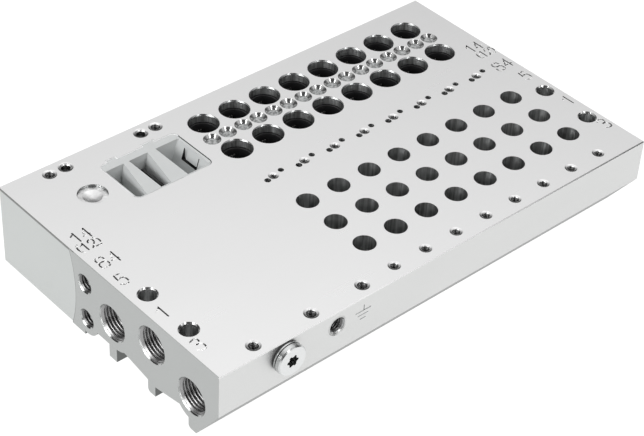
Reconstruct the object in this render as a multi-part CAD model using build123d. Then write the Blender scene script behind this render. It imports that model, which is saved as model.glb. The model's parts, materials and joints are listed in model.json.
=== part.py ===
from build123d import *
import math
import os

# Manifold rail for eight slim pneumatic valves. Sizes are in millimetres.
# While a piece is made, x runs from the left end, y from the front edge and z up from the feet.
# Each piece is then moved so that the origin is the middle of the whole part's base.

# Layout along the rail, from the left end to the right one
opening_start = 24.5
opening_width = 24.6
first_valve_gap = 8.5
valve_count = 8
valve_pitch = 10.5
last_valve_margin = 13.5

# Rail, as sawn and milled
rail_height = 23.8
front_face_height = 12.4
corner_round = 1.0
front_edge_break = 0.25
cutter_overrun = 1.0

# Feet and underside, heights above the base
front_foot_y = (8.2, 11.05)
middle_foot_y = (23.8, 26.65)
rear_foot_y = (39.1, 42.1)
front_bay_roof_z = (5.5, 3.1)
middle_bay_roof_z = (3.6, 5.9)
rear_bay_roof_z = 3.9
rear_body_y = 52.2

# Main channels: supply in the middle, exhausts to the front and rear of it
front_port = (9.95, 10.5)
middle_port = (25.05, 15.7)
rear_port = (40.7, 11.5)
main_channel_radius = 4.0
front_boss = (9.3, 10.5)
front_boss_radius = 7.6
rear_boss = (40.0, 11.5)
rear_boss_radius = 7.4

# Pilot channels
upper_pilot = (51.6, 16.6)
lower_pilot = (51.25, 5.6)
upper_pilot_radius = 1.7
lower_pilot_radius = 2.1
pilot_boss_radius = 4.6

# Threads are bored at their outer radius, and the turns are left to the surface finish
main_thread_radius = 4.865
main_thread_depth = 8.0
main_thread_chamfer = 0.3
pilot_thread_radius = 2.5
pilot_thread_depth = 6.5
pilot_thread_chamfer = 0.3
drill_point = math.radians(59)

# Valve stations along the top
air_hole_radius = 3.0
front_air_y = 14.9
middle_air_y = 25.5
rear_air_y = 36.1
air_hole_overrun = 2.0
front_screw_offset = (-0.1, 4.15)
front_screw_radius = 1.25
front_screw_depth = 7.0
middle_screw_offset = (-0.1, 49.3)
middle_screw_radius = 1.0
middle_screw_depth = 3.5
lower_pilot_hole_offset = (-2.5, 48.7)
lower_pilot_hole_radius = 0.875
upper_pilot_hole_offset = (2.97, 50.0)
upper_pilot_hole_radius = 0.825

# Other holes in the rail
left_mounting_inset = 4.8
right_mounting_inset = 3.7
mounting_hole_y = (17.0, 32.6)
mounting_hole_radius = 2.25
mounting_hole_chamfer = 0.35
side_screw_radius = 1.5
side_screw_depth = 7.0
front_side_screws = ((12.9, 3.6), (30.5, 3.7), (46.6, 3.7))
back_side_screw_x = (13.2, 46.7)
back_locating_hole_x = (18.1, 41.9)
back_hole_inset = 3.4
locating_hole_radius = 1.6
locating_hole_depth = 5.0
earth_hole_x = 35.7
front_hole_drop = 4.3
earth_thread_radius = 2.0
earth_thread_depth = 6.0
earth_thread_chamfer = 0.35

# Rear chamber for the electrics, laid out round the two rows of sockets
chamber_front_y = 58.6
socket_front_gap = 1.0
socket_row_spacing = 14.05
socket_rear_gap = 0.05
rear_wall = 5.6
chamber_floor = 2.2
chamber_roof = 2.6
board_thickness = 1.6
board_underside_z = 9.4
board_groove_depth = 0.9
board_clearance = 0.1

# Let-in end covers
cover_thickness = 2.0
cover_recess = 0.3
cover_bow_y = 55.6
cover_bow_radius = 35.7
cover_lip = 0.4
cover_clearance = 0.12
spigot_depth = 3.0
spigot_wall = 1.2

# Sockets in the large holes
socket_hole_radius = 4.3
socket_rim_cover = 0.05
socket_roof_gap = 0.15
socket_cavity_radius = 3.7
socket_cavity_depth = 4.6
socket_key_width = 3.0
socket_key_height = 2.6
socket_key_thickness = 0.7
contact_count = 4
contact_pitch = 0.8
contact_width = 0.4
contact_thickness = 0.25
contact_height = 3.4

# Light guides
guide_row_offset = 7.15
guide_spacing = 5.25
guide_hole_radius = 1.6
guide_hole_chamfer = 0.8
guide_head_radius = 1.5
guide_head_drop = 0.65
guide_dome_rise = 0.25
guide_bar_width = 3.2
guide_bar_height = 1.6
guide_leg_radius = 1.4
lamp_size = 1.6
lamp_height = 0.8
lamp_gap = 0.2

# Connector housing in its opening. Slots and tabs are placed from the opening's front left corner
opening_row_offset = -1.15
opening_length = 16.9
opening_corner = 1.8
tab_spans = ((2.9, 6.3), (14.2, 18.4))
tab_reach = 0.9
housing_clearance = 0.22
housing_recess = 0.15
slot_depth = 9.5
slot_wall = 0.3
slot_length_span = (0.55, 14.2)
slot_spans = ((0.55, 3.2), (7.9, 10.9), (16.4, 23.7))
slot_taper = 2.4
slot_flares = ((0.12, 0.7), (0.6, 3.5))
ramp_angle = 17.0
latch_span = (4.7, 11.1)
latch_drop = (1.0, 4.35)
latch_slits = (0.35, 1.6)
latch_foot_slit = 0.9
strip_offset = 2.0
strip_thickness = 0.9
strip_height = 6.0
strip_span = (3.2, 12.7)

# Dished plug in the round recess
recess_x = 17.0
recess_row_offset = 0.3
recess_radius = 4.0
recess_depth = 1.7
recess_plug_thickness = 1.0
recess_plug_clearance = 0.06
dish_radius = 2.6
dish_depth = 0.45

# Screw plug and its seal on the front face
plug_x = 19.6
plug_flange_radius = 4.2
plug_flange_thickness = 2.0
plug_flange_chamfer = 0.3
plug_shank_clearance = 0.12
plug_shank_length = 5.0
plug_drive_radius = 1.3
plug_drive_lobe = 0.42
plug_drive_lobes = 6
plug_drive_depth = 1.6
seal_thickness = 0.7
seal_radius = 4.05

first_valve_x = opening_start + opening_width + first_valve_gap
rail_length = first_valve_x + valve_pitch * (valve_count - 1) + last_valve_margin
socket_radius = socket_hole_radius + socket_rim_cover
front_socket_y = chamber_front_y + socket_front_gap + socket_radius
rear_socket_y = front_socket_y + socket_row_spacing
chamber_rear_y = rear_socket_y + socket_radius + socket_rear_gap
chamber_y = (chamber_front_y, chamber_rear_y)
rail_depth = chamber_rear_y + rear_wall
guide_y = front_socket_y + guide_row_offset
opening_front_y = front_socket_y + opening_row_offset
opening_x = (opening_start, opening_start + opening_width)
opening_y = (opening_front_y, opening_front_y + opening_length)
recess_centre = (recess_x, guide_y + recess_row_offset)
plug_reach = seal_thickness + plug_flange_thickness
roof_underside_z = rail_height - chamber_roof
board_top_z = board_underside_z + board_thickness
cover_zone = cover_recess + cover_thickness
to_origin = Location((-rail_length / 2, (plug_reach - rail_depth) / 2, 0))
valve_x = [first_valve_x + valve_pitch * i for i in range(valve_count)]
lamp_x = [x + side * guide_spacing / 2 for x in valve_x for side in (-1, 1)]
from_corner = (Align.MIN, Align.MIN, Align.MIN)
upwards = (Align.CENTER, Align.CENTER, Align.MIN)
downwards = (Align.CENTER, Align.CENTER, Align.MAX)


def block(x, y, z):
    """A rectangular block between the given pairs of x, y and z."""
    return Pos(x[0], y[0], z[0]) * Box(x[1] - x[0], y[1] - y[0], z[1] - z[0], align=from_corner)


def placed(span, start):
    """A pair of sizes measured from a start, as places."""
    return (start + span[0], start + span[1])


def strip(y, z):
    """A rectangle of the cross-section between the given pairs of y and z."""
    return Pos(y[0], z[0]) * Rectangle(y[1] - y[0], z[1] - z[0], align=(Align.MIN, Align.MIN))


def disc(centre, radius):
    """A round of the cross-section at (y, z)."""
    return Pos(*centre) * Circle(radius)


def along_rail(section, start, length):
    """A cross-section drawn in y and z, carried along x."""
    return Pos(start, 0, 0) * extrude(Plane.YZ * section, amount=length)


def drilled(radius, depth, chamfer_width, pointed=True):
    """A hole's shape with its mouth at the origin, going down: chamfer, wall and drill point."""
    tip = radius / math.tan(drill_point) if pointed else 0
    mouth = [(radius + chamfer_width, 0), (radius, -chamfer_width)] if chamfer_width else [(radius, 0)]
    half = Polyline((0, 0), *mouth, (radius, -depth), (0, -depth - tip), (0, 0))
    return revolve(Plane.XZ * make_face(half), Axis.Z)


def from_top(spots, hole):
    """The same hole sunk in the top face at each (x, y)."""
    return [Pos(x, y, rail_height) * hole for x, y in spots]


def from_front(x, hole):
    """A hole sunk in the front face."""
    return Pos(x, 0, rail_height - front_hole_drop) * Rot(90, 0, 0) * hole


def from_both_ends(port, hole):
    """The same hole sunk in both end faces at (y, z)."""
    y, z = port
    left = Pos(0, y, z) * Rot(0, -90, 0) * hole
    right = Pos(rail_length, y, z) * Rot(0, 90, 0) * hole
    return [left, right]


def export(node, solid):
    """Writes one node, moved from the rail's corner to the part's origin."""
    export_step(to_origin * solid, f"parts/{node}.step")


# Rail: an extruded bar with its channels and chamber, then milled and drilled
def rear_corner(y):
    """What rounds off the rear bottom corner of a foot."""
    square = strip((y - corner_round, y), (0, corner_round))
    return square - disc((y - corner_round, corner_round), corner_round)


def rail_section():
    front_bevel = Polygon(
        (0, 0), (front_foot_y[0], 0), (0, rail_height - front_face_height), align=None
    )
    front_bay = Polygon(
        (front_foot_y[1], 0), (middle_foot_y[0], 0),
        (middle_foot_y[0], front_bay_roof_z[1]), (front_foot_y[1], front_bay_roof_z[0]), align=None
    ) - disc(front_boss, front_boss_radius)
    middle_bay = Polygon(
        (middle_foot_y[1], 0), (rear_foot_y[0], 0),
        (rear_foot_y[0], middle_bay_roof_z[1]), (middle_foot_y[1], middle_bay_roof_z[0]), align=None
    ) - disc(rear_boss, rear_boss_radius)
    rear_bay = strip((rear_foot_y[1], rear_body_y), (0, rear_bay_roof_z))
    rear_bay -= disc(lower_pilot, pilot_boss_radius)
    chamber = strip(chamber_y, (chamber_floor, roof_underside_z))
    groove_y = (chamber_y[0] - board_groove_depth, chamber_y[1] + board_groove_depth)
    grooves = strip(groove_y, (board_underside_z, board_top_z + board_clearance))
    edge_break = Polygon(
        (0, rail_height), (0, rail_height - front_edge_break), (front_edge_break, rail_height), align=None
    )
    section = strip((0, rail_depth), (0, rail_height)) - front_bevel - edge_break
    section -= front_bay + middle_bay + rear_bay
    section -= rear_corner(front_foot_y[1])
    section -= rear_corner(middle_foot_y[1])
    section -= chamber + grooves
    for port in (front_port, middle_port, rear_port):
        section -= disc(port, main_channel_radius)
    section -= disc(upper_pilot, upper_pilot_radius)
    section -= disc(lower_pilot, lower_pilot_radius)
    return section


def cover_outline(gap):
    """The bowed outline of an end cover, drawn in by a gap on every side."""
    bow_centre = (cover_bow_y + cover_bow_radius, rail_height / 2)
    plate = strip((cover_bow_y, rail_depth - gap), (gap, rail_height - cover_lip - gap))
    return plate & disc(bow_centre, cover_bow_radius - gap)


def cover_pocket():
    """What the end mill takes for a cover: the outline, run out past the back and the bottom."""
    bow_centre = (cover_bow_y + cover_bow_radius, rail_height / 2)
    opened = strip((cover_bow_y, rail_depth + cutter_overrun), (-cutter_overrun, rail_height - cover_lip))
    return opened & disc(bow_centre, cover_bow_radius)


def valve_holes():
    """The holes of all valve stations: air, pilot air, screws, sockets and light guides."""
    holes = []
    for air_y, port in ((front_air_y, front_port), (middle_air_y, middle_port), (rear_air_y, rear_port)):
        reach = rail_height - port[1] + air_hole_overrun
        air_hole = drilled(air_hole_radius, reach, 0, pointed=False)
        holes += from_top([(x, air_y) for x in valve_x], air_hole)
    for offset, port, radius in (
        (lower_pilot_hole_offset, lower_pilot, lower_pilot_hole_radius),
        (upper_pilot_hole_offset, upper_pilot, upper_pilot_hole_radius),
    ):
        spots = [(x + offset[0], offset[1]) for x in valve_x]
        holes += from_top(spots, drilled(radius, rail_height - port[1], 0))
    for offset, hole in (
        (front_screw_offset, drilled(front_screw_radius, front_screw_depth, 0)),
        (middle_screw_offset, drilled(middle_screw_radius, middle_screw_depth, 0)),
    ):
        holes += from_top([(x + offset[0], offset[1]) for x in valve_x], hole)
    through_roof = chamber_roof + board_clearance
    sockets = [(x, y) for x in valve_x for y in (front_socket_y, rear_socket_y)]
    holes += from_top(sockets, drilled(socket_hole_radius, through_roof, 0, pointed=False))
    guides = [(x, guide_y) for x in lamp_x]
    holes += from_top(guides, drilled(guide_hole_radius, through_roof, guide_hole_chamfer, pointed=False))
    return holes


def other_holes():
    """Mounting, side, locating, plug and earth holes, and the threaded end ports."""
    ends_x = (left_mounting_inset, rail_length - right_mounting_inset)
    back_y = rail_depth - back_hole_inset
    corners = [(x, y) for x in ends_x for y in mounting_hole_y]
    mounting_hole = drilled(mounting_hole_radius, rail_height, mounting_hole_chamfer, pointed=False)
    holes = from_top(corners, mounting_hole)
    side_screw = drilled(side_screw_radius, side_screw_depth, 0)
    holes += from_top(front_side_screws, side_screw)
    holes += from_top([(x, back_y) for x in back_side_screw_x], side_screw)
    locating_hole = drilled(locating_hole_radius, locating_hole_depth, 0, pointed=False)
    holes += from_top([(x, back_y) for x in back_locating_hole_x], locating_hole)
    holes += from_top([recess_centre], drilled(recess_radius, recess_depth, 0, pointed=False))
    holes.append(from_front(plug_x, drilled(pilot_thread_radius, pilot_thread_depth, 0)))
    earth_hole = drilled(earth_thread_radius, earth_thread_depth, earth_thread_chamfer)
    holes.append(from_front(earth_hole_x, earth_hole))
    main_thread = drilled(main_thread_radius, main_thread_depth, main_thread_chamfer, pointed=False)
    pilot_thread = drilled(pilot_thread_radius, pilot_thread_depth, pilot_thread_chamfer, pointed=False)
    for port in (front_port, middle_port, rear_port):
        holes += from_both_ends(port, main_thread)
    for port in (upper_pilot, lower_pilot):
        holes += from_both_ends(port, pilot_thread)
    return holes


def opening_outline(gap):
    """The rounded outline of the connector housing's opening, drawn in by a gap on every side."""
    middle = Pos(sum(opening_x) / 2, sum(opening_y) / 2)
    return middle * RectangleRounded(opening_width - 2 * gap, opening_length - 2 * gap, opening_corner - gap)


def housing_opening():
    """The opening for the connector housing, with a notch for each tab on its back edge."""
    outline = opening_outline(0)
    for span in tab_spans:
        outline += strip(placed(span, opening_start), (opening_y[1] - tab_reach, opening_y[1] + tab_reach))
    return Pos(0, 0, rail_height) * extrude(outline, amount=-chamber_roof - board_clearance)


rail = along_rail(rail_section(), 0, rail_length)
rail -= [
    along_rail(cover_pocket(), 0, cover_zone),
    along_rail(cover_pocket(), rail_length - cover_zone, cover_zone),
    housing_opening(),
]
rail -= valve_holes() + other_holes()


# End covers: bowed plates with a hollow spigot that plugs the chamber
def end_cover():
    """The left cover, seated on the floor of its pocket."""
    plate = along_rail(cover_outline(cover_clearance), cover_recess, cover_thickness)
    outer_y = (chamber_y[0] + cover_clearance, chamber_y[1] - cover_clearance)
    outer_z = (chamber_floor + cover_clearance, roof_underside_z - cover_clearance)
    inner_y = (outer_y[0] + spigot_wall, outer_y[1] - spigot_wall)
    inner_z = (outer_z[0] + spigot_wall, outer_z[1] - spigot_wall)
    spigot = along_rail(strip(outer_y, outer_z) - strip(inner_y, inner_z), cover_zone, spigot_depth)
    return plate + spigot


left_cover = end_cover()
right_cover = mirror(left_cover, about=Plane.YZ.offset(rail_length / 2))


# Circuit board in its grooves, with a lamp under each light guide prong
board_x = (
    cover_zone + spigot_depth + cover_clearance,
    rail_length - cover_zone - spigot_depth - cover_clearance,
)
board_edge = board_groove_depth - cover_clearance
board_y = (chamber_y[0] - board_edge, chamber_y[1] + board_edge)
board = block(board_x, board_y, (board_underside_z, board_top_z))
lamp = Box(lamp_size, lamp_size, lamp_height, align=upwards)
lamps = [Pos(x, guide_y, board_top_z) * lamp for x in lamp_x]


# Valve sockets: round cups on the board with a key block at the back that carries the contacts
socket_top_z = roof_underside_z - socket_roof_gap
socket_height = socket_top_z - board_top_z
cavity_floor_z = socket_top_z - socket_cavity_depth
key_back_y = math.sqrt(socket_cavity_radius**2 - (socket_key_width / 2) ** 2)


def valve_socket(x, y):
    cup = Cylinder(socket_radius, socket_height, align=upwards)
    cup -= Pos(0, 0, socket_height - socket_cavity_depth) * Cylinder(
        socket_cavity_radius, socket_cavity_depth, align=upwards
    )
    key = block(
        (-socket_key_width / 2, socket_key_width / 2),
        (key_back_y - socket_key_thickness, key_back_y + socket_key_thickness),
        (socket_height - socket_cavity_depth, socket_height - socket_cavity_depth + socket_key_height),
    )
    return Pos(x, y, board_top_z) * (cup + key)


def contacts(x, y):
    """Thin strips that stand on the cavity floor, in front of the key block."""
    span = contact_pitch * (contact_count - 1)
    blade_y = y + key_back_y - socket_key_thickness
    blades = []
    for i in range(contact_count):
        blade_x = x - span / 2 + contact_pitch * i
        blades.append(block(
            (blade_x - contact_width / 2, blade_x + contact_width / 2),
            (blade_y - contact_thickness, blade_y),
            (cavity_floor_z, cavity_floor_z + contact_height),
        ))
    return blades


# Light guides: two domed heads on a bar under the roof, and a leg down to each lamp
def light_guide(x):
    bar_length = guide_spacing + guide_bar_width
    bar = block(
        (x - bar_length / 2, x + bar_length / 2),
        (guide_y - guide_bar_width / 2, guide_y + guide_bar_width / 2),
        (roof_underside_z - guide_bar_height, roof_underside_z),
    )
    edge_z = rail_height - guide_head_drop - guide_dome_rise
    dome_radius = (guide_head_radius**2 + guide_dome_rise**2) / (2 * guide_dome_rise)
    leg_foot_z = board_top_z + lamp_height + lamp_gap
    bar_foot_z = roof_underside_z - guide_bar_height
    outline = Polyline((0, edge_z + guide_dome_rise), (0, leg_foot_z), (guide_leg_radius, leg_foot_z),
                       (guide_leg_radius, bar_foot_z), (guide_head_radius, bar_foot_z),
                       (guide_head_radius, edge_z))
    dome = RadiusArc((guide_head_radius, edge_z), (0, edge_z + guide_dome_rise), -dome_radius)
    prong = revolve(Plane.XZ * make_face(outline + dome), Axis.Z)
    return bar + [Pos(x + side * guide_spacing / 2, guide_y, 0) * prong for side in (-1, 1)]


# Connector housing: a moulded block with three slots, standing on the board
housing_top_z = rail_height - housing_recess
slot_floor_z = housing_top_z - slot_depth
slot_y = placed(slot_length_span, opening_front_y)
slot_x = [placed(span, opening_start) for span in slot_spans]


def slot_section(left, right, flare):
    """A slot seen along its length, with its right rim flared by (width, depth)."""
    outline = Polyline(
        (left, slot_floor_z), (right, slot_floor_z), (right, housing_top_z - flare[1]),
        (right + flare[0], housing_top_z), (left, housing_top_z), (left, slot_floor_z)
    )
    return Plane.XZ * make_face(outline)


def slot(x):
    """A slot that widens towards the back, and so does the flare of its right rim."""
    left, right = x
    front_flare, back_flare = slot_flares
    front = Pos(0, slot_y[0], 0) * slot_section(left, right, front_flare)
    back = Pos(0, slot_y[1], 0) * slot_section(left, right + slot_taper, back_flare)
    return loft([front, back], ruled=True)


def connector_housing():
    gap = housing_clearance
    outline = opening_outline(gap)
    tab_y = (opening_y[1] - gap - tab_reach, opening_y[1] - gap + tab_reach)
    for start, end in tab_spans:
        outline += strip(placed((start + gap, end - gap), opening_start), tab_y)
    body = Pos(0, 0, board_top_z) * extrude(outline, amount=housing_top_z - board_top_z)
    hollow = Pos(0, 0, slot_floor_z) * extrude(opening_outline(gap + slot_wall), amount=slot_depth)
    body -= [slot(slot_x[0]) & hollow, slot(slot_x[1]) & hollow]
    front, back = slot_y
    ramp_start, ramp_end = slot_x[2]
    foot_x = ramp_end - slot_depth * math.tan(math.radians(ramp_angle))
    ramp = Polyline((ramp_start, slot_floor_z), (foot_x, slot_floor_z), (ramp_end, housing_top_z),
                    (ramp_start, housing_top_z), (ramp_start, slot_floor_z))
    body -= Pos(0, back, 0) * extrude(Plane.XZ * make_face(ramp), amount=back - front)
    return body - latch_cuts()


def latch_cuts():
    """A U-shaped slit that leaves the latch tongue in the sloping wall of the third slot."""
    top_z = housing_top_z - latch_drop[0]
    foot_z = housing_top_z - latch_drop[1]
    ramp_end = slot_x[2][1]
    wall_x = ramp_end - latch_drop[1] * math.tan(math.radians(ramp_angle))
    reach = (wall_x, ramp_end)
    latch_y = placed(latch_span, opening_front_y)
    front_leg = block(reach, (latch_y[0], latch_y[0] + latch_slits[0]), (foot_z, top_z))
    back_leg = block(reach, (latch_y[1] - latch_slits[1], latch_y[1]), (foot_z, top_z))
    foot = block(reach, latch_y, (foot_z, foot_z + latch_foot_slit))
    return front_leg + back_leg + foot


strip_x = placed((strip_offset, strip_offset + strip_thickness), slot_x[1][0])
contact_strip = block(
    strip_x, placed(strip_span, opening_front_y), (slot_floor_z, slot_floor_z + strip_height)
)


# Dished plug, seated on the floor of its recess
def recess_plug():
    radius = recess_radius - recess_plug_clearance
    sphere_radius = (dish_radius**2 + dish_depth**2) / (2 * dish_depth)
    floor_z = rail_height - recess_depth
    top_z = floor_z + recess_plug_thickness
    plug = Cylinder(radius, recess_plug_thickness, align=upwards)
    plug = Pos(0, 0, floor_z) * plug - Pos(0, 0, top_z - dish_depth + sphere_radius) * Sphere(sphere_radius)
    return Pos(*recess_centre, 0) * plug


# Screw plug with a six-lobed drive, and the ring that seals it on the front face
def screw_plug():
    """The plug standing on its flange, with the seal's plane at zero and the shank below."""
    shank_radius = pilot_thread_radius - plug_shank_clearance
    flange = revolve(Plane.XZ * make_face(Polyline(
        (0, 0), (plug_flange_radius, 0), (plug_flange_radius, plug_flange_thickness - plug_flange_chamfer),
        (plug_flange_radius - plug_flange_chamfer, plug_flange_thickness), (0, plug_flange_thickness), (0, 0)
    )), Axis.Z)
    shank = Cylinder(shank_radius, plug_shank_length + seal_thickness, align=downwards)
    drive = Circle(plug_drive_radius)
    for i in range(plug_drive_lobes):
        turned = Rot(0, 0, 360 / plug_drive_lobes * i)
        drive += turned * Pos(plug_drive_radius, 0) * Circle(plug_drive_lobe)
    drive = Pos(0, 0, plug_flange_thickness) * extrude(drive, amount=-plug_drive_depth)
    return flange + shank - drive


seal = Circle(seal_radius) - Circle(pilot_thread_radius)
seal = extrude(seal, amount=seal_thickness)

os.makedirs("parts", exist_ok=True)
export("manifold_rail", rail)
export("left_end_cover", left_cover)
export("right_end_cover", right_cover)
export("circuit_board", board)
export("indicator_lamps", Compound(children=lamps))
export("connector_housing", connector_housing())
export("contact_strip", contact_strip)
export("recess_plug", recess_plug())
export("screw_plug", from_front(plug_x, Pos(0, 0, seal_thickness) * screw_plug()))
export("sealing_ring", from_front(plug_x, seal))
blades = []
for number, x in enumerate(valve_x, start=1):
    export(f"light_guide_{number}", light_guide(x))
    for row, y in (("front", front_socket_y), ("rear", rear_socket_y)):
        export(f"valve_socket_{row}_{number}", valve_socket(x, y))
        blades += contacts(x, y)
export("socket_contacts", Compound(children=blades))
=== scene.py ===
import bpy
import json
import numpy as np
from mathutils import Matrix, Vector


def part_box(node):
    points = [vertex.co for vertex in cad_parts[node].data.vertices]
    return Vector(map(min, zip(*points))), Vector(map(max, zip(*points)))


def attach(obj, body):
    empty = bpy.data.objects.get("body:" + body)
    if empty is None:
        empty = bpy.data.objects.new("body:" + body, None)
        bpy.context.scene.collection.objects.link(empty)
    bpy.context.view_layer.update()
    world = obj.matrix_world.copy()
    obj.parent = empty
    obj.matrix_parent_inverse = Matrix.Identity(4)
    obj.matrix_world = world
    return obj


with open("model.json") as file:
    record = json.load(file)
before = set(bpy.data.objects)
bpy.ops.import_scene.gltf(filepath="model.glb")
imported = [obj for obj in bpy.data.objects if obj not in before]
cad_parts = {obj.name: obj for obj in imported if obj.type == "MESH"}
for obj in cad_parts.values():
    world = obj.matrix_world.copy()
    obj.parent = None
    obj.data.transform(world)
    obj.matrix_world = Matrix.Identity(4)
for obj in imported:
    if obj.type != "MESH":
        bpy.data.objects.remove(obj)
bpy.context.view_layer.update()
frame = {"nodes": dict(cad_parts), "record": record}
MM = 0.001


# Manifold rail. One bar of extruded aluminium, sawn to length and milled bright on its top, with the
# valve stations, side holes and ports drilled: each bore keeps the rings that its tool left. The bores'
# walls are painted darker, as shade inside the holes, with upright runs of painted light streaks.
class Wire:
    """A value in a node tree. Arithmetic on it adds Math nodes."""

    def __init__(self, nodes, socket):
        self.nodes = nodes
        self.socket = socket

    def math(self, operation, *others):
        values = dict(enumerate((self, *others)))
        return self.nodes.node("ShaderNodeMath", {"operation": operation}, values)

    def __add__(self, other):
        return self.math("ADD", other)

    def __sub__(self, other):
        return self.math("SUBTRACT", other)

    def __rsub__(self, other):
        return self * -1 + other

    def __mul__(self, other):
        return self.math("MULTIPLY", other)

    def __abs__(self):
        return self.math("ABSOLUTE")

    def __gt__(self, other):
        return self.math("GREATER_THAN", other)

    def __lt__(self, other):
        return self.math("LESS_THAN", other)

    __radd__ = __add__
    __rmul__ = __mul__

    def between(self, low, high):
        """A smooth step: 0 at low and below, 1 at high and above."""
        values = {"Value": self, "From Min": low, "From Max": high}
        return self.nodes.node("ShaderNodeMapRange", {"interpolation_type": "SMOOTHSTEP"}, values)


class Nodes:
    """The node tree of a material or of the world."""

    def __init__(self, tree):
        self.tree = tree

    def node(self, kind, settings=None, sockets=None, out=0):
        """Adds a node, sets its settings first and then its sockets, and returns one of its outputs."""
        made = self.tree.nodes.new(kind)
        for name, value in (settings or {}).items():
            setattr(made, name, value)
        for name, value in (sockets or {}).items():
            self.connect(made.inputs[name], value)
        return Wire(self, made.outputs[out])

    def connect(self, socket, value):
        """Links a wire to a socket, or sets the socket to a plain value."""
        if isinstance(value, Wire):
            self.tree.links.new(value.socket, socket)
        else:
            socket.default_value = value

    def split(self, vector):
        """The x, y and z of a vector."""
        first = self.node("ShaderNodeSeparateXYZ", sockets={0: vector})
        return [Wire(self, part) for part in first.socket.node.outputs]


class Finish(Nodes):
    """A material in the making, with one Principled shader. Its lengths are in millimetres."""

    def __init__(self, name, **constants):
        self.material = bpy.data.materials.new(name)
        self.material.use_nodes = True
        super().__init__(self.material.node_tree)
        self.shader = self.tree.nodes["Principled BSDF"]
        for socket, value in constants.items():
            self.set(socket.replace("_", " "), value)

    def set(self, name, value):
        """Gives one of the shader's sockets a wire or a plain value."""
        self.connect(self.shader.inputs[name], value)

    def place(self):
        """Object coordinates in millimetres, as a vector."""
        metres = self.node("ShaderNodeTexCoord", out="Object")
        return self.node("ShaderNodeVectorMath", {"operation": "SCALE"}, {0: metres, "Scale": 1 / MM})

    def facing(self):
        """The x, y and z of the surface's own normal."""
        return self.split(self.node("ShaderNodeNewGeometry", out="True Normal"))

    def noise(self, place, cells, detail=2.0):
        """Noise from 0 to 1, with the given cells per millimetre along x, y and z."""
        scaled = self.node("ShaderNodeVectorMath", {"operation": "MULTIPLY"}, {0: place, 1: cells})
        return self.node("ShaderNodeTexNoise", sockets={"Vector": scaled, "Scale": 1.0, "Detail": detail})

    def mix(self, amount, under, over, blend="MIX"):
        """One colour laid over another, by an amount from 0 to 1. A colour is a wire, or its red, green
        and blue. Inputs 6 and 7 and output 2 are the Mix node's colours."""
        colours = [colour if isinstance(colour, Wire) else (*colour, 1) for colour in (under, over)]
        return self.node("ShaderNodeMix", {"data_type": "RGBA", "blend_type": blend},
                         {"Factor": amount, 6: colours[0], 7: colours[1]}, out=2)

    def relief(self, height):
        """Bends the normals by a height in millimetres."""
        self.set("Normal", self.node("ShaderNodeBump", sockets={"Height": height, "Distance": MM}))


def dress(name, finish):
    """Gives a CAD node its finish, in every material slot that it has."""
    piece = frame["nodes"][name]
    if not piece.material_slots:
        piece.data.materials.append(finish.material)
    for slot in piece.material_slots:
        slot.material = finish.material


def centre_of(name):
    """The x, y and z of a mount, in millimetres."""
    return [metres / MM for metres in mounts[name]["pos_m"]]


def radius_of(name):
    """The radius of a mount's hole, in millimetres."""
    return mounts[name]["dims"]["r_mm"]


def distance(first, second):
    """The root of the sum of two wires' squares."""
    return (first * first + second * second).math("SQRT")


def sink(x, y, spot, radius, width, pitch=None):
    """A countersink's cone round a hole, in the plane of two coordinates. Its height is 0 from the given
    width outside the hole's radius, and falls by 1 for 1 towards the hole. With a pitch, the same cone
    repeats along x."""
    across = x - spot[0]
    if pitch:
        across = (across + pitch / 2).math("FLOORED_MODULO", pitch) - pitch / 2
    return (distance(across, y - spot[1]) - (radius + width)).math("MINIMUM", 0.0)


mounts = {mount["name"]: mount for mount in frame["record"]["mounts"]}
rail_low, rail_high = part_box("manifold_rail")
left_x = rail_low.x / MM
right_x = rail_high.x / MM
front_y = rail_low.y / MM
back_y = rail_high.y / MM
top_z = rail_high.z / MM
cover_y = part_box("left_end_cover")[0].y / MM
socket_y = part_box("valve_socket_front_1")[0].y / MM
guide_low, guide_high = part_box("light_guide_1")
first_screw_x = centre_of("valve_1_front_screw")[0]
last_screw_x = centre_of("valve_8_front_screw")[0]
valve_pitch = centre_of("valve_2_front_screw")[0] - first_screw_x

# The colour of each kind of surface. DULLED to BRIGHT tints them all, along the streaks and clouds.
# The colours of the bores' walls, the faces that look down, the front bevel, the channel's front-facing
# sides and the line round the left cover are painted shade.
MILLED = (0.80, 0.80, 0.80)
TURNED = (0.80, 0.80, 0.80)
EXTRUDED = (0.70, 0.705, 0.70)
SAWN = (0.425, 0.437, 0.431)
# Bore walls are painted shade: darker than the faces outside them, with lighter upright runs that are
# painted streaks of reflected light.
BORED_SHADE = (0.34, 0.345, 0.345)
BORED_LIT_STREAK = (0.60, 0.61, 0.61)
SOCKET_MOUTH = (0.50, 0.51, 0.51)
PORT_CONE = (0.44, 0.45, 0.445)
# Faces that look down are painted dark, as shade under the rail.
UNDERSIDE_SHADE = (0.26, 0.27, 0.265)
# The bevel under the front face, which looks down and forward, is painted dark as shade.
BEVEL_SHADE = (0.13, 0.135, 0.132)
# The front-facing sides in the channel under the rail are painted nearly black, as shade.
CHANNEL_SIDE_SHADE = (0.13, 0.135, 0.132)
# The line along the left cover's top edge and bow is a painted shadow, as under a lip over the cover.
LIP_SHADOW = (0.24, 0.245, 0.24)
DULLED = (0.975, 0.975, 0.975)
BRIGHT = (1.0, 1.0, 1.0)

# Parts of a unit normal: a face square to an axis has more than SQUARE along it, a chamfer or a cone
# has from SLANTED to SQUARE, and a wall has less than WALL along z. A face looks down where its z is
# less than UNDER, and leans forward where its y is less than FORWARD.
SQUARE = 0.9
SLANTED = 0.4
WALL = 0.5
UNDER = -0.3
FORWARD = -0.1

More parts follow.
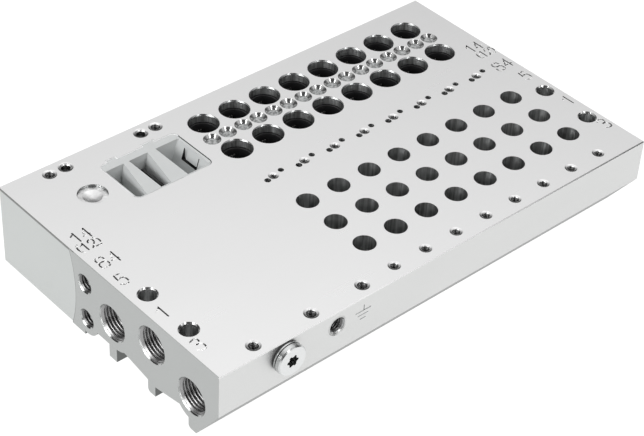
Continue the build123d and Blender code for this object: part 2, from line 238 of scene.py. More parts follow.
# Reaches in millimetres, from the faces and holes that they are measured from.
EDGE = 0.2
BORE_END = 5.0
CONE_REACH = 0.5
RIM_REACH = 1.0
MOUTH_DEPTH = 0.55
BEVEL_REACH = 9.0
CHANNEL_START = 1.0
CHANNEL_TOP = 10.0
LEFT_LINE_WIDTH = 0.27
BOW_RADIUS = 35.7
FRONT_SCREW_SINK = 0.4
MIDDLE_SCREW_SINK = 0.38
SIDE_SINK = 0.42
EARTH_SINK = 0.85
# How much the relief falls for each millimetre across a countersink in the top face.
SINK_SLOPE = 0.5

# The tools' marks, with pitches and heights in millimetres, and how they and the cuts change the
# roughness.
RUN_STEPS = (0.3, 0.7)
RING_PITCH = 0.3
RING_WANDER = 2
RING_HEIGHT = 0.018
STREAK_SHARE = 0.6
STREAK_HEIGHT = 0.0002
SCRATCH_HEIGHT = 0.00005
ROUGHNESS = 0.36
SMOOTHER_TOP = 0.06
ROUGHER_SIDES = 0.14
SMOOTHER_CUTS = 0.16
STREAK_SPREAD = 0.06
CLOUD_SPREAD = 0.1


def rail_finish():
    """Masks, 1 on a kind of surface and 0 off it, come from the surface's place and from its own normal.
    Each kind's colour is laid over those before it. The bores' walls, the faces that look down, the front
    bevel, the channel's front-facing sides and the line round the left cover get painted shade."""
    finish = Finish("milled_aluminium", Metallic=1.0)
    place = finish.place()
    x, y, z = finish.split(place)
    nx, ny, nz = finish.facing()

    top = (nz > SQUARE) * (z > top_z - EDGE)
    front = (ny < -SQUARE) * (y < front_y + EDGE)
    back = (ny > SQUARE) * (y > back_y - EDGE)
    ends = (abs(nx) > SQUARE) * ((x < left_x + EDGE) + (x > right_x - EDGE))
    bore = (abs(nz) < WALL) * (1 - front) * (1 - back) * (1 - ends) * (z > BORE_END)
    near_ends = (x < left_x + CONE_REACH) + (x > right_x - CONE_REACH)
    cones = (abs(nx) > SLANTED) * (abs(nx) < SQUARE) * near_ends
    rims = (nz > SLANTED) * (nz < SQUARE) * (z > top_z - RIM_REACH)
    guide_rims = (y > guide_low.y / MM) * (y < guide_high.y / MM)
    valve_row = (x > first_screw_x - valve_pitch / 2) * (x < last_screw_x + valve_pitch / 2)
    socket_side = (y > socket_y) * valve_row
    socket_mouths = socket_side * bore * (z > top_z - MOUTH_DEPTH)
    bevel = (nz < UNDER) * (ny < FORWARD) * (y < front_y + BEVEL_REACH)
    channel_sides = (ny < -SQUARE) * (y > front_y + CHANNEL_START) * (z < CHANNEL_TOP)
    left_edge = x < left_x + LEFT_LINE_WIDTH
    from_bow = distance(y - (cover_y + BOW_RADIUS), z - top_z / 2) - BOW_RADIUS
    # A painted shadow line along the cover's top and its bow.
    cover_lip_shadow = left_edge * (top * (y > cover_y) + ends * (from_bow < LEFT_LINE_WIDTH))

    streaks = finish.noise(place, (0.006, 1.2, 1.2))
    # Upright runs, which lay painted streaks of reflected light along the bores' walls.
    runs = finish.noise(place, (1.8, 1.8, 0.06))
    scratches = finish.noise(place, (0.05, 9.0, 9.0))
    clouds = finish.noise(place, (0.03, 0.10, 0.10))
    wander = finish.noise(place, (0.2, 0.2, 0.6))
    rings = (z * (2 * np.pi / RING_PITCH) + wander * RING_WANDER).math("SINE")

    colour = EXTRUDED
    for mask, over in (
        (bore, finish.mix(runs.between(*RUN_STEPS), BORED_SHADE, BORED_LIT_STREAK)),
        (top, MILLED),
        (ends, SAWN),
        (rims * (1 - guide_rims), TURNED),
        (socket_mouths, SOCKET_MOUTH),
        (cones, PORT_CONE),
        (nz < UNDER, UNDERSIDE_SHADE),
        (bevel, BEVEL_SHADE),
        (top * left_edge, SAWN),
        (cover_lip_shadow, LIP_SHADOW),
        (channel_sides, CHANNEL_SIDE_SHADE),
    ):
        colour = finish.mix(mask, colour, over)
    tone = finish.mix(streaks * STREAK_SHARE + clouds * (1 - STREAK_SHARE), DULLED, BRIGHT)
    finish.set("Base Color", finish.mix(1.0, colour, tone, blend="MULTIPLY"))

    rough = ROUGHNESS - top * SMOOTHER_TOP + (front + back) * ROUGHER_SIDES
    rough += (streaks - 0.5) * STREAK_SPREAD + (clouds - 0.5) * CLOUD_SPREAD
    finish.set("Roughness", rough - (cones + rims + socket_mouths) * SMOOTHER_CUTS)

    sinks = 0.0
    for name, width in (("valve_1_front_screw", FRONT_SCREW_SINK),
                        ("valve_1_middle_screw", MIDDLE_SCREW_SINK)):
        sinks += sink(x, y, centre_of(name), radius_of(name), width, valve_pitch) * valve_row
    for name in ("front_side_screw_1", "front_side_screw_2", "front_side_screw_3", "back_side_screw_1",
                 "back_side_screw_2", "back_locating_hole_1", "back_locating_hole_2"):
        sinks += sink(x, y, centre_of(name), radius_of(name), SIDE_SINK)
    earth_x, _, earth_z = centre_of("earth_screw")
    earth_sink = sink(x, z, (earth_x, earth_z), radius_of("earth_screw"), EARTH_SINK) * front
    marks = streaks * STREAK_HEIGHT * (top + front + back) + scratches * SCRATCH_HEIGHT * top
    rounding = (z - (top_z - MOUTH_DEPTH)).math("MAXIMUM", 0.0) * -1 * socket_side
    finish.relief(marks + sinks * SINK_SLOPE * top + earth_sink + (rings * RING_HEIGHT + rounding) * bore)
    return finish


dress("manifold_rail", rail_finish())


# Threads. The ports and the screw holes are tapped, so that their turns are cut into the bores' walls.
# Here each is a thin lining of its bore, with the countersink that the tap was led in by.
STEPS_PER_TURN = 12
LINING_CLEARANCE = 0.01
LINING_OVERLAP = 0.03
END_CLEARANCE = 0.2
# How far a countersink's radius falls for each millimetre of depth.
TOP_CONE = 2
SIDE_CONE = 1
WIDE_FROM = 4.0
WIDE_SIDES = 96
SMALL_SIDES = 56
BRIGHT_MOUTH = 0.35
THREAD_ROUGHNESS = 0.28
CHATTER_SPREAD = 0.16
CHATTER_HEIGHT = 0.012
# The pitch and the inner radius of the thread of each outer radius.
THREADS = {4.865: (0.907, 4.283), 2.5: (0.8, 2.07), 2.0: (0.7, 1.62),
           1.5: (0.5, 1.23), 1.25: (0.45, 1.01), 1.0: (0.4, 0.78)}


def piece_of(name, points, faces, finish, smooth=False):
    """One piece of the object, from points in millimetres, riding on its only body."""
    mesh = bpy.data.meshes.new(name)
    mesh.from_pydata((points * MM).tolist(), [], faces, shade_flat=not smooth)
    mesh.materials.append(finish.material)
    piece = bpy.data.objects.new(name, mesh)
    bpy.context.scene.collection.objects.link(piece)
    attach(piece, "root")
    return piece


def closed_rings(name, points, finish):
    """A smooth piece of the rail from rings of points. Each ring joins the next, and the last the first."""
    rows, columns = points.shape[:2]
    a = np.arange(rows * columns).reshape(rows, columns)
    b = np.roll(a, -1, axis=1)
    c = np.roll(b, -1, axis=0)
    d = np.roll(a, -1, axis=0)
    faces = np.stack([a, b, c, d], axis=-1).reshape(-1, 4).tolist()
    return piece_of(name, points.reshape(-1, 3), faces, finish, smooth=True)


def thread_lining(name, mouth, inwards, outer, inner, pitch, depth, cone, sides, finish):
    """A closed lining of a bore. Its inner face is a grid of angle and depth. The radius is the outer one,
    less the thread's height times the root of the cosine's size of pi times (depth over pitch less angle
    over a full turn), which gives broad turns and narrow grooves. The turns fade out over the last pitch.
    A countersink, whose radius falls by cone times its depth, cuts the first turns away. The outer face
    is a plain cylinder, a little inside the metal."""
    angle = np.linspace(0, 2 * np.pi, sides, endpoint=False)
    down = np.linspace(0, depth, int(depth / pitch * STEPS_PER_TURN) + 1)
    turn = down[:, None] / pitch - angle[None, :] / (2 * np.pi)
    rise = np.sqrt(abs(np.cos(np.pi * turn)))
    fade = np.clip((depth - down[:, None]) / pitch, 0, 1)
    radius = np.maximum(outer - (outer - inner) * rise * fade, outer - down[:, None] * cone)
    radius = np.vstack([radius, np.full((2, sides), outer + LINING_OVERLAP)])
    down = np.concatenate([down, [depth, 0.0]])
    side = np.array((1.0, 0, 0)) if abs(inwards[2]) > 0.5 else np.cross(inwards, (0, 0, 1))
    up = np.cross(side, inwards)
    spoke = np.cos(angle)[:, None] * side + np.sin(angle)[:, None] * up
    closed_rings(name, mouth + radius[:, :, None] * spoke + down[:, None, None] * inwards, finish)


def thread_finish(name, dark, light):
    """Cut metal painted dark, as shade deep in the holes, with chatter from dark to light, and a
    countersink in the top face's holes that keeps the turned colour.
    """
    finish = Finish(name, Metallic=1.0)
    place = finish.place()
    chatter = finish.noise(place, (2.0, 2.0, 2.0))
    mouth = finish.split(place)[2] > top_z - BRIGHT_MOUTH
    turns = finish.mix(chatter, (dark, dark, dark), (light, light, light))
    finish.set("Base Color", finish.mix(mouth, turns, TURNED))
    finish.set("Roughness", THREAD_ROUGHNESS + chatter * CHATTER_SPREAD)
    finish.relief(chatter * CHATTER_HEIGHT)
    return finish


# The linings' metal is painted dark as shade in the holes, and the small holes' linings darker still.
wide_threads = thread_finish("wide_threads", dark=0.25, light=0.38)
small_threads = thread_finish("small_threads", dark=0.13, light=0.22)
for mount_name, mount in mounts.items():
    if mount["kind"] == "threaded_hole":
        radius = radius_of(mount_name)
        length = mount["dims"]["length_mm"]
        outwards = np.array(mount["axis"], float)
        wide = radius > WIDE_FROM
        pitch, inner = THREADS[radius]
        thread_lining(
            f"thread_{mount_name}", centre_of(mount_name) + outwards * length / 2, -outwards,
            radius - LINING_CLEARANCE, inner, pitch, length - END_CLEARANCE,
            TOP_CONE if outwards[2] > 0.5 else SIDE_CONE, WIDE_SIDES if wide else SMALL_SIDES,
            wide_threads if wide else small_threads)


# Locating holes. Two plain reamed holes stand beside the back side screws, with the same turned
# countersink. Here each has a lining too, a cone of 45 degrees with a plain wall below it.
LOCATING_CONE = 0.35
LOCATING_DEPTH = 1.5
MOUTH_ROUNDING = 0.02
FOOT_ROUNDING = 0.03


def plain_lining(name, mouth, radius, finish):
    """A closed lining of a hole in the top face: a profile of (inset from the hole's radius, depth),
    slightly rounded at both ends of its cone, carried round the hole's axis."""
    profile = np.array([
        (LINING_CLEARANCE, 0.0), (LINING_CLEARANCE + MOUTH_ROUNDING, MOUTH_ROUNDING),
        (LOCATING_CONE - MOUTH_ROUNDING, LOCATING_CONE - FOOT_ROUNDING), (LOCATING_CONE, LOCATING_CONE),
        (LOCATING_CONE, LOCATING_DEPTH), (-LINING_OVERLAP, LOCATING_DEPTH), (-LINING_OVERLAP, 0.0)])
    angle = np.linspace(0, 2 * np.pi, SMALL_SIDES, endpoint=False)
    spoke = np.stack([np.cos(angle), np.sin(angle), 0 * angle], axis=1)
    points = mouth + (radius - profile[:, None, :1]) * spoke
    points[:, :, 2] -= profile[:, 1:]
    closed_rings(name, points, finish)


# Their linings take the small threads' metal, painted dark as shade in the holes.
for number in (1, 2):
    hole = f"back_locating_hole_{number}"
    mouth = (*centre_of(hole)[:2], top_z)
    plain_lining(f"locating_hole_lining_{number}", mouth, radius_of(hole), small_threads)


# End covers. Satin aluminium plates pressed into seats in the rear part of each end, lighter and
# smoother than the sawn face round them.
COVER_DARK = (0.515, 0.533, 0.525)
COVER_LIGHT = (0.545, 0.563, 0.555)
COVER_ROUGHNESS = 0.34
COVER_SPREAD = 0.1
COVER_GRAIN_HEIGHT = 0.003


def cover_finish():
    """Broad clouds of colour, and a fine upright grain that roughens the surface and bends its normals."""
    finish = Finish("satin_aluminium", Metallic=1.0)
    place = finish.place()
    grain = finish.noise(place, (1.5, 6.0, 0.3), detail=3.0)
    clouds = finish.noise(place, (0.06, 0.06, 0.06))
    finish.set("Base Color", finish.mix(clouds, COVER_DARK, COVER_LIGHT))
    finish.set("Roughness", COVER_ROUGHNESS + (grain - 0.5) * COVER_SPREAD)
    finish.relief(grain * COVER_GRAIN_HEIGHT)
    return finish


covers = cover_finish()
dress("left_end_cover", covers)
dress("right_end_cover", covers)


# Circuit board and lamps. A green board slides into grooves of the rear chamber and carries a small
# resin lamp, soldered on, under each light guide's prong. Little of them shows.
LACQUER_DARK = (0.012, 0.06, 0.03)
LACQUER_LIGHT = (0.02, 0.10, 0.05)
TRACK_STEPS = (0.48, 0.52)
TRACK_HEIGHT = 0.03


def board_finish():
    """Green lacquer, which stands higher and lighter where a copper track runs under it."""
    finish = Finish("solder_mask", Roughness=0.35)
    tracks = finish.noise(finish.place(), (0.4, 1.6, 1.0), detail=1.0).between(*TRACK_STEPS)
    finish.set("Base Color", finish.mix(tracks, LACQUER_DARK, LACQUER_LIGHT))
    finish.relief(tracks * TRACK_HEIGHT)
    return finish


def grained(name, cells, dark, light, rough, spread=0.0, height=0.0, detail=2.0, steps=None, **constants):
    """A finish with one noise all over it. The colour goes from dark to light with the noise, or with its
    smooth step between two steps. The roughness is rough plus spread times the noise, and the relief
    is height times the noise."""
    finish = Finish(name, **constants)
    grain = finish.noise(finish.place(), cells, detail)
    amount = grain.between(*steps) if steps else grain
    finish.set("Base Color", finish.mix(amount, dark, light))
    finish.set("Roughness", rough + grain * spread if spread else rough)
    if height:
        finish.relief(grain * height)
    return finish


lamp_resin = grained("lamp_resin", cells=(2.0, 2.0, 2.0), dark=(0.62, 0.60, 0.45),
                     light=(0.72, 0.70, 0.58), rough=0.25)
dress("circuit_board", board_finish())
dress("indicator_lamps", lamp_resin)


# Valve sockets. Black moulded cups, soldered to the board, stand under the sixteen large holes, each
# with a row of tinned contact strips in front of a key block.
black_moulding = grained("black_moulding", cells=(6.0, 6.0, 6.0), dark=(0.012, 0.012, 0.013),
                         light=(0.028, 0.028, 0.029), rough=0.32, spread=0.2, height=0.03, detail=3.0)
tinned_contact = grained("tinned_contact", cells=(5.0, 5.0, 1.0), dark=(0.62, 0.61, 0.58),
                         light=(0.80, 0.79, 0.76), rough=0.2, spread=0.15, Metallic=1.0)
for number in range(1, 9):
    dress(f"valve_socket_front_{number}", black_moulding)
    dress(f"valve_socket_rear_{number}", black_moulding)
dress("socket_contacts", tinned_contact)


# Light guides. Frosted clear mouldings with two domed heads each, pushed up through the roof of the
# chamber until they are seated just below the top face.
frosted_guide = grained("frosted_guide", cells=(1.4, 1.4, 1.4), dark=(0.14, 0.145, 0.145),
                        light=(0.44, 0.45, 0.45), rough=0.25, spread=0.2, height=0.08, detail=3.0,
                        steps=(0.35, 0.65), Coat_Weight=0.6, Coat_Roughness=0.12)
for number in range(1, 9):
    dress(f"light_guide_{number}", frosted_guide)


# Connector housing and contact strip. The housing is a light grey moulding with a fine grain, clipped
# into its opening by a tongue between two slits. A black contact strip crosses its middle slot's floor.
OPENING_LEFT = left_x + 24.5
OPENING_FRONT = front_y + 62.8
RAMP_TOP_X = OPENING_LEFT + 23.7
RAMP_ANGLE = 17.0
SLIT_START = 4.4
SLIT_REACH = 6.6
SLIT_INSET = 0.08
SLIT_DROP = 0.9
MOULDED_DARK = (0.575, 0.59, 0.588)
MOULDED_LIGHT = (0.635, 0.65, 0.648)
SHADOW = (0.012, 0.012, 0.012)
MOULDED_ROUGHNESS = 0.45
MOULDED_SPREAD = 0.15
MOULDED_GRAIN_HEIGHT = 0.02
housing_low, housing_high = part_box("connector_housing")
housing_top = housing_high.z / MM


def housing_finish():
    """Grey with broad clouds. Faces behind the ramp, which leans by the ramp's angle, are dark within the
    reach of the tongue's slits, as the gaps round the tongue are."""
    finish = Finish("grey_moulding")
    place = finish.place()
    x, y, z = finish.split(place)
    grain = finish.noise(place, (7.0, 7.0, 7.0))
    clouds = finish.noise(place, (0.15, 0.15, 0.15))
    behind_ramp = x + (housing_top - z) * np.tan(np.radians(RAMP_ANGLE)) - RAMP_TOP_X
    slit_y = housing_low.y / MM + SLIT_START
    slit = (behind_ramp > SLIT_INSET) * (x < RAMP_TOP_X) * (z < housing_top - SLIT_DROP)
    slit *= (y > slit_y) * (y < slit_y + SLIT_REACH)
    finish.set("Base Color", finish.mix(slit, finish.mix(clouds, MOULDED_DARK, MOULDED_LIGHT), SHADOW))
    finish.set("Roughness", MOULDED_ROUGHNESS + grain * MOULDED_SPREAD)
    finish.relief(grain * MOULDED_GRAIN_HEIGHT)
    return finish


black_strip = grained("black_strip", cells=(4.0, 4.0, 4.0), dark=(0.008, 0.008, 0.008),
                      light=(0.02, 0.02, 0.02), rough=0.4, spread=0.2)
dress("connector_housing", housing_finish())
dress("contact_strip", black_strip)


# Housing gap highlight. A thin white strip lies in the gap between the connector housing and the back
# and left sides of its opening, and follows both tabs' notches. It is a painted highlight along the
# opening's edge, laid over the gap's shade.
OPENING_WIDTH = 24.6
OPENING_LENGTH = 16.9
OPENING_CORNER = 1.8
TAB_SPANS = ((2.9, 6.3), (14.2, 18.4))
TAB_REACH = 0.9
GAP = 0.22
CORNER_POINTS = 6
HIGHLIGHT_HALF_WIDTH = 0.09
HIGHLIGHT_TOP_DROP = 0.05
HIGHLIGHT_FOOT_DROP = 0.7


def gap_line():
    """The middle of the gap round the moulding, from the front end of its left side, round the back left
    corner, in and out of both tabs' notches, and round the back right corner."""
    half = GAP / 2
    turn = np.linspace(0, np.pi / 2, CORNER_POINTS)
    bend = np.stack([np.cos(turn), np.sin(turn)], axis=1) * (OPENING_CORNER - half)
    left_bend = bend * (-1, 1) + (OPENING_CORNER, OPENING_LENGTH - OPENING_CORNER)
    right_bend = bend + (OPENING_WIDTH - OPENING_CORNER, OPENING_LENGTH - OPENING_CORNER)
    edge = OPENING_LENGTH - half
    notches = []
    for start, end in TAB_SPANS:
        notches += [(start + half, edge), (start + half, edge + TAB_REACH),
                    (end - half, edge + TAB_REACH), (end - half, edge)]
    return np.vstack([[(half, OPENING_CORNER)], left_bend, notches, right_bend[::-1]])


def tube_faces(rings, sides, first=0):
    """The walls between neighbouring rings of points, and the two end faces. Points count from first."""
    a = np.arange(rings * sides).reshape(rings, sides) + first
    b = np.roll(a, -1, axis=1)
    walls = np.stack([a[:-1], b[:-1], b[1:], a[1:]], axis=-1).reshape(-1, 4)
    return [*walls.tolist(), a[0][::-1].tolist(), a[-1].tolist()]


def ribbon(name, path, finish):
    """A closed strip along a path in the top face's plane. At each point its sides lie along the sum of the
    two neighbouring runs' normals, over 1 plus their dot product, so that its corners are mitred."""
    runs = np.diff(path, axis=0)
    runs /= np.linalg.norm(runs, axis=1)[:, None]
    normals = np.stack([-runs[:, 1], runs[:, 0]], axis=1)
    before = np.vstack([normals[:1], normals])
    after = np.vstack([normals, normals[-1:]])
    mitre = (before + after) / (1 + (before * after).sum(axis=1))[:, None] * HIGHLIGHT_HALF_WIDTH
    near, far = path - mitre, path + mitre
    corners = ((near, HIGHLIGHT_TOP_DROP), (near, HIGHLIGHT_FOOT_DROP), (far, HIGHLIGHT_FOOT_DROP), (far, HIGHLIGHT_TOP_DROP))
    lines = [np.column_stack([side, np.full(len(path), top_z - drop)]) for side, drop in corners]
    rings = np.stack(lines, axis=1)
    piece_of(name, rings.reshape(-1, 3), tube_faces(len(path), len(corners)), finish)


# A white strip that paints the highlight along the opening's edge.
pale_seal = grained("pale_seal", cells=(3.0, 3.0, 3.0), dark=(0.92, 0.93, 0.93),
                    light=(1.0, 1.0, 1.0), rough=0.4, spread=0.2)
ribbon("housing_seal", gap_line() + (OPENING_LEFT, OPENING_FRONT), pale_seal)


# Contact strip's lip. The black strip is moulded with a raised edge, which stands up along the left
# wall of the middle slot. It is what shows of the strip from above.
LIP_X = (-37.15, -36.45)
LIP_Y = (23.35, 32.85)
LIP_DROPS = (5.0, 3.05)
lip_points = np.array([(x, y, housing_top - drop) for x in LIP_X for y in LIP_Y for drop in LIP_DROPS])
lip_faces = [(0, 1, 3, 2), (4, 6, 7, 5), (0, 4, 5, 1), (2, 3, 7, 6), (0, 2, 6, 4), (1, 5, 7, 3)]
piece_of("contact_strip_lip", lip_points, lip_faces, black_strip)


# Recess plug. A thin aluminium disc with a dished middle, stamped and pressed into the round recess.
# The press has left it bright and slightly dented.
pressed_aluminium = grained("pressed_aluminium", cells=(0.35, 0.35, 0.35), dark=(0.60, 0.60, 0.60),
                            light=(0.78, 0.78, 0.78), rough=0.20, spread=0.2, height=0.18,
                            steps=(0.35, 0.65), Metallic=1.0)
dress("recess_plug", pressed_aluminium)


# Screw plug and its seal. The plug is turned aluminium, with a flange and a six-lobed drive, screwed
# down on a black rubber ring. A narrow groove runs round its flange. The drive's recess and the groove
# are painted dark, as shade.
GROOVE_WIDTH = 0.30
GROOVE_BEFORE_SEAL = 0.65
DRIVE_RADIUS = 2.2
DRIVE_START = 0.12
SIDE_DARK = (0.52, 0.53, 0.53)
SIDE_LIGHT = (0.66, 0.67, 0.67)
FACED = (0.72, 0.73, 0.73)
# The drive's recess is painted darker, as shade.
DRIVE_SHADE = (0.26, 0.265, 0.265)
# The groove round the flange is painted black, as the shade in it.
GROOVE_SHADE = (0.02, 0.02, 0.02)
TURNED_ROUGHNESS = 0.16
TURNED_SPREAD = 0.2
ROUGHER_FACE = 0.12
TURNED_HEIGHT = 0.02
plug_low, plug_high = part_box("screw_plug")
groove_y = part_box("sealing_ring")[0].y / MM - GROOVE_BEFORE_SEAL


def turned_finish():
    """Turned sides, a lighter face, a drive within its radius of the plug's axis painted darker as shade in
    its recess, and the groove painted black as its shade.
    """
    finish = Finish("turned_aluminium", Metallic=1.0)
    place = finish.place()
    x, y, z = finish.split(place)
    _, ny, _ = finish.facing()
    marks = finish.noise(place, (1.2, 4.0, 1.2), detail=3.0)
    face = ny < -SQUARE
    across = x - (plug_low.x + plug_high.x) / 2 / MM
    upright = z - (plug_low.z + plug_high.z) / 2 / MM
    drive = (distance(across, upright) < DRIVE_RADIUS) * (y > plug_low.y / MM + DRIVE_START)
    groove = (y > groove_y) * (y < groove_y + GROOVE_WIDTH) * (abs(ny) < WALL)
    colour = finish.mix(marks, SIDE_DARK, SIDE_LIGHT)
    for mask, over in ((face, FACED), (drive, DRIVE_SHADE), (groove, GROOVE_SHADE)):
        colour = finish.mix(mask, colour, over)
    finish.set("Base Color", colour)
    finish.set("Roughness", TURNED_ROUGHNESS + marks * TURNED_SPREAD + face * ROUGHER_FACE)
    finish.relief(marks * TURNED_HEIGHT)
    return finish


black_rubber = grained("black_rubber", cells=(3.0, 3.0, 3.0), dark=(0.010, 0.010, 0.010),
                       light=(0.026, 0.026, 0.026), rough=0.5, spread=0.2)
dress("screw_plug", turned_finish())
dress("sealing_ring", black_rubber)


# Port numbers and the earth mark. Plain digits are cut in the top face with a V cutter, beside the
# ports at each end. The earth mark is etched in the front face beside the earth screw's hole.
PROUD = 0.012
STROKE = 0.42
EARTH_STROKE = 0.26
END_TAPER = 0.5
LINE_POINTS = 6
BEND_POINTS = 7
CUT_ROUGHNESS = 0.22
PATCH_STEPS = (0.45, 0.52)
LEAN_STEPS = (0.15, 0.5)
# A stroke's section: its places across, in half widths, and its heights, in times PROUD.
SECTION = np.array([(-1, 1), (0, 1), (1, 1), (1, -1), (-1, -1)], float)
# How far each digit takes up the line, and its strokes, in times its height.
ADVANCE = 0.86
ADVANCES = {"1": 0.78, "(": 0.42, "2": 0.74}
DIGITS = {
    "1": [[(0.04, 0.74), (0.2, 0.80), (0.34, 1.0)], [(0.34, 1.0), (0.34, 0.0)]],
    "2": [[(0.02, 0.78), (0.05, 1.02), (0.55, 1.08), (0.55, 0.62), (0.28, 0.3), (0, 0)],
          [(0, 0), (0.58, 0)]],
    "3": [[(0.02, 0.88), (0.15, 1.03), (0.56, 1.0), (0.52, 0.55), (0.22, 0.53)],
          [(0.22, 0.53), (0.6, 0.53), (0.6, -0.02), (0.18, -0.04), (0, 0.14)]],
    "4": [[(0.42, 0), (0.42, 1)], [(0.42, 1), (0, 0.3)], [(0, 0.3), (0.58, 0.3)]],
    "5": [[(0.52, 1), (0.09, 1)], [(0.09, 1), (0.05, 0.55)],
          [(0.05, 0.55), (0.28, 0.66), (0.58, 0.56), (0.58, -0.02), (0.18, -0.04), (0, 0.12)]],
    "8": [[(0.29, 0.54), (0, 0.56), (0.02, 1.0), (0.29, 1.0), (0.56, 1.0), (0.58, 0.56), (0.29, 0.54)],
          [(0.29, 0.54), (-0.04, 0.54), (-0.02, 0), (0.29, 0), (0.60, 0), (0.62, 0.54), (0.29, 0.54)]],
    "(": [[(0.3, 1.1), (0.05, 0.85), (0.05, 0.15), (0.3, -0.1)]],
    ")": [[(0.0, 1.1), (0.25, 0.85), (0.25, 0.15), (0.0, -0.1)]],
}
# Each mark's text, the x and y of its lower left corner, and its digits' height.
LEFT_MARKS = (("14", -69.6, 15.5, 3.7), ("(12)", -70.9, 11.7, 2.9), ("84", -70.1, 3.9, 3.9),
              ("5", -70.2, -3.8, 3.9), ("1", -69.7, -19.1, 3.9), ("3", -70.2, -32.9, 3.9))
RIGHT_MARKS = (("14", 66.0, 15.6, 3.5), ("(12)", 66.0, 11.8, 2.8), ("84", 65.7, 4.2, 3.8),
               ("5", 68.6, -3.5, 3.8), ("1", 69.3, -18.8, 3.7), ("3", 68.9, -32.4, 3.9))
EARTH_FROM_LEFT = 43.9
EARTH_BELOW_TOP = 4.5
EARTH_LINES = (((0.2, 2.1), (0.2, 0.5)), ((-2.4, 0.5), (2.4, 0.5)),
               ((-1.6, -0.7), (1.6, -0.7)), ((-0.8, -1.9), (0.8, -1.9)))


def bent(points):
    """Points along a stroke. Each inner point is a corner that a quadratic curve cuts between the middles
    of its two sides, so the stroke keeps its ends and stays inside its corners."""
    points = np.array(points, float)
    if len(points) < 3:
        return points[0] + np.linspace(0, 1, LINE_POINTS)[:, None] * (points[1] - points[0])
    middles = (points[1:] + points[:-1]) / 2
    middles[0] = points[0]
    middles[-1] = points[-1]
    t = np.linspace(0, 1, BEND_POINTS)[:, None]
    bends = [(1 - t) ** 2 * a + 2 * t * (1 - t) * p + t ** 2 * b
             for a, p, b in zip(middles[:-1], points[1:-1], middles[1:])]
    return np.vstack([bends[0]] + [bend[1:] for bend in bends[1:]])


def engraved_lines(name, paths, width, origin, right, up, out, finish):
    """A shallow strip along each path, drawn out by half its width at both ends, where it is tapered. Its
    top stands a hair proud of the face. The attribute across runs from -1 to 1 over its width, and the
    attribute lean is the size of the stroke's part to the right."""
    points, faces, across, lean = [], [], [], []
    for path in paths:
        along = np.gradient(path, axis=0)
        along /= np.linalg.norm(along, axis=1)[:, None]
        path = np.vstack([path[0] - along[0] * width / 2, path, path[-1] + along[-1] * width / 2])
        along = np.vstack([along[:1], along, along[-1:]])
        reach = np.full(len(path), width / 2)
        reach[[0, -1]] *= END_TAPER
        side = np.stack([along[:, 1], -along[:, 0]], axis=1)
        flat = path[:, None] + side[:, None] * (SECTION[:, 0] * reach[:, None])[..., None]
        rings = origin + flat[..., :1] * right + flat[..., 1:] * up + SECTION[:, 1:] * PROUD * out
        faces += tube_faces(len(path), len(SECTION), first=sum(map(len, across)))
        points.append(rings.reshape(-1, 3))
        across.append(np.tile(SECTION[:, 0], len(path)))
        lean.append(np.repeat(abs(along[:, 0]), len(SECTION)))
    mesh = piece_of(name, np.vstack(points), faces, finish).data
    for attribute, values in (("across", across), ("lean", lean)):
        mesh.attributes.new(attribute, "FLOAT", "POINT").data.foreach_set("value", np.concatenate(values))


def engraved_finish(name, dark, light, depth):
    """A V groove: its height is the size of the attribute across times the depth. In patches along the
    strokes that lean to the right, the colour turns light as a painted highlight on the groove's flank,
    and there the groove's relief is left out."""
    finish = Finish(name, Metallic=1.0, Roughness=CUT_ROUGHNESS)
    across = finish.node("ShaderNodeAttribute", {"attribute_name": "across"}, out="Fac")
    lean = finish.node("ShaderNodeAttribute", {"attribute_name": "lean"}, out="Fac")
    patches = finish.noise(finish.place(), (1.5, 1.5, 1.5)).between(*PATCH_STEPS)
    glint_flecks = patches * lean.between(*LEAN_STEPS)
    finish.set("Base Color", finish.mix(glint_flecks, dark, light))
    finish.relief(abs(across) * depth * (1 - glint_flecks))
    return finish


x_axis, y_axis, z_axis = np.eye(3)
# Strokes painted darker than the top, as shade in their grooves, with nearly white painted highlights.
engraved = engraved_finish("engraved_line", dark=(0.44, 0.44, 0.44), light=(0.95, 0.95, 0.95), depth=0.20)
for end, group in (("left", LEFT_MARKS), ("right", RIGHT_MARKS)):
    for number, (text, mark_x, mark_y, tall) in enumerate(group, 1):
        starts = np.cumsum([0.0] + [ADVANCES.get(digit, ADVANCE) for digit in text])
        paths = [(bent(line) + (start, 0)) * tall
                 for start, digit in zip(starts, text) for line in DIGITS[digit]]
        engraved_lines(f"{end}_mark_{number}", paths, STROKE, np.array((mark_x, mark_y, top_z)),
                       x_axis, y_axis, z_axis, engraved)

etched = engraved_finish("etched_line", dark=(0.20, 0.21, 0.21), light=(0.30, 0.31, 0.31), depth=0.05)
earth_centre = np.array((left_x + EARTH_FROM_LEFT, front_y, top_z - EARTH_BELOW_TOP))
engraved_lines("earth_mark", [bent(line) for line in EARTH_LINES], EARTH_STROKE, earth_centre,
               x_axis, z_axis, -y_axis, etched)


# Studio. A pale glowing floor runs out of sight, a large panel overhead lights the top face, and a dark
# screen stands round the camera. A key light, two tall strip boxes and a side panel light the edges,
# bores and ends. The camera stands where the photographer stood.
FLOOR_HALF = 4.0
FLOOR_GLOW = 1.0
LIGHT_DISTANCE = 1.5
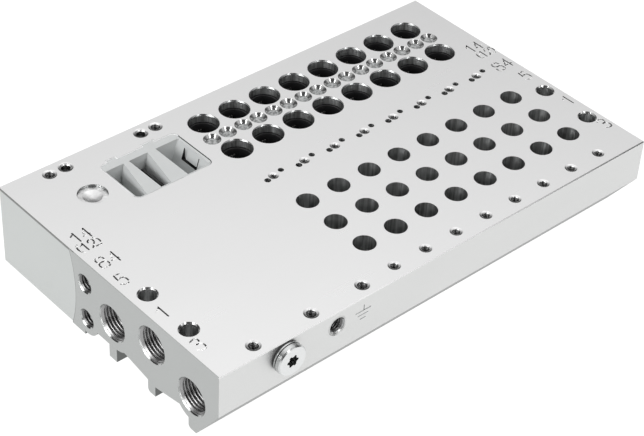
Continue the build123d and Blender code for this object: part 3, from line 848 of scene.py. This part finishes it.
# Each light's direction, its width and height in metres, and its radiance.
LIGHTS = {
    "key_light": ((0.449, -0.719, 0.53), (0.62, 0.3), 1.15),
    "front_box": ((0.02, -1, 0.60), (0.18, 1.3), 7.0),
    "left_box": ((-1, -0.02, 0.60), (0.18, 1.3), 7.0),
    "left_panel": ((-1, -0.09, 0.47), (1.4, 0.5), 5.0),
}
PANEL_MIDDLE = (0.178, 0.188, 0.966)
PANEL_RADIANCE = 1.0
PANEL_COSINE = 0.806
PANEL_SLOPE = 2.9
LEAST_RADIANCE = 0.06
MOST_RADIANCE = 1.6
SCREEN_MIDDLE = (-0.502, -0.502, 0.704)
SCREEN_ANGLES = np.radians((45, 25))
CAMERA_PLACE = (-259.182, -270.429, 307.020)
CAMERA_AZIMUTH = np.radians(-43.4257)
CAMERA_ELEVATION = np.radians(38.7328)
CAMERA_ROLL = np.radians(3.2723)
SENSOR_WIDTH = 36
FOCAL_LENGTH = 101.968
CLIP_START = 0.01


def floor():
    """A square sheet under the object."""
    near, far = -FLOOR_HALF, FLOOR_HALF
    mesh = bpy.data.meshes.new("floor")
    mesh.from_pydata([(near, near, 0), (far, near, 0), (far, far, 0), (near, far, 0)], [], [(0, 1, 2, 3)])
    finish = Finish("pale_floor", Roughness=0.9, Emission_Strength=FLOOR_GLOW)
    finish.set("Emission Color", (1, 1, 1, 1))
    finish.set("Base Color", (0.10, 0.10, 0.10, 1))
    mesh.materials.append(finish.material)
    ground = bpy.data.objects.new("floor", mesh)
    bpy.context.scene.collection.objects.link(ground)


def level_axes(back):
    """The right and up directions of something level that looks away from the unit direction back."""
    right = np.cross((0, 0, 1), back)
    right /= np.linalg.norm(right)
    return right, np.cross(back, right)


def stand(name, data, right, up, back, spot):
    """A light or camera at a spot in metres, with its x, y and z along the given directions."""
    stood = bpy.data.objects.new(name, data)
    matrix = np.eye(4)
    matrix[:3] = np.column_stack([right, up, back, spot])
    stood.matrix_world = Matrix(matrix.tolist())
    bpy.context.scene.collection.objects.link(stood)
    return stood


def soft_light(name, way, size, radiance):
    """A box light that faces the object. Its power is radiance times pi times its area."""
    light = bpy.data.lights.new(name, "AREA")
    light.shape = "RECTANGLE"
    light.size, light.size_y = size
    light.energy = radiance * np.pi * size[0] * size[1]
    back = np.array(way) / np.linalg.norm(way)
    stand(name, light, *level_axes(back), back, back * LIGHT_DISTANCE)


def sky():
    """Light from the panel overhead. Its radiance is the panel's plus the slope times (c less the panel's
    cosine), kept between least and most, where c is the cosine of the angle from the panel's middle.
    Towards the middle of the screen it falls, smoothly between the screen's angles, to least."""
    world = bpy.data.worlds.new("studio")
    world.use_nodes = True
    air = Nodes(world.node_tree)
    x, y, z = air.split(air.node("ShaderNodeTexCoord", out="Generated"))
    cosine = x * PANEL_MIDDLE[0] + y * PANEL_MIDDLE[1] + z * PANEL_MIDDLE[2]
    nearness = x * SCREEN_MIDDLE[0] + y * SCREEN_MIDDLE[1] + z * SCREEN_MIDDLE[2]
    clear = 1 - nearness.between(*np.cos(SCREEN_ANGLES))
    glow = (cosine - PANEL_COSINE) * PANEL_SLOPE + (PANEL_RADIANCE - LEAST_RADIANCE)
    glow = glow.math("MAXIMUM", 0.0).math("MINIMUM", MOST_RADIANCE - LEAST_RADIANCE)
    background = air.tree.nodes["Background"]
    background.inputs["Color"].default_value = (1, 1, 1, 1)
    air.connect(background.inputs["Strength"], glow * clear + LEAST_RADIANCE)
    return world


floor()
for light_name, (way, size, radiance) in LIGHTS.items():
    soft_light(light_name, way, size, radiance)
bpy.context.scene.world = sky()
bpy.context.scene.view_settings.view_transform = "Standard"

camera_data = bpy.data.cameras.new("camera")
camera_data.sensor_fit = "HORIZONTAL"
camera_data.sensor_width = SENSOR_WIDTH
camera_data.lens = FOCAL_LENGTH
camera_data.clip_start = CLIP_START
camera_back = np.array((np.sin(CAMERA_AZIMUTH) * np.cos(CAMERA_ELEVATION),
                        -np.cos(CAMERA_AZIMUTH) * np.cos(CAMERA_ELEVATION), np.sin(CAMERA_ELEVATION)))
level, upright = level_axes(camera_back)
camera_right = np.cos(CAMERA_ROLL) * level + np.sin(CAMERA_ROLL) * upright
camera_up = np.cos(CAMERA_ROLL) * upright - np.sin(CAMERA_ROLL) * level
bpy.context.scene.camera = stand("camera", camera_data, camera_right, camera_up, camera_back,
                                 np.array(CAMERA_PLACE) * MM)

bpy.context.view_layer.update()
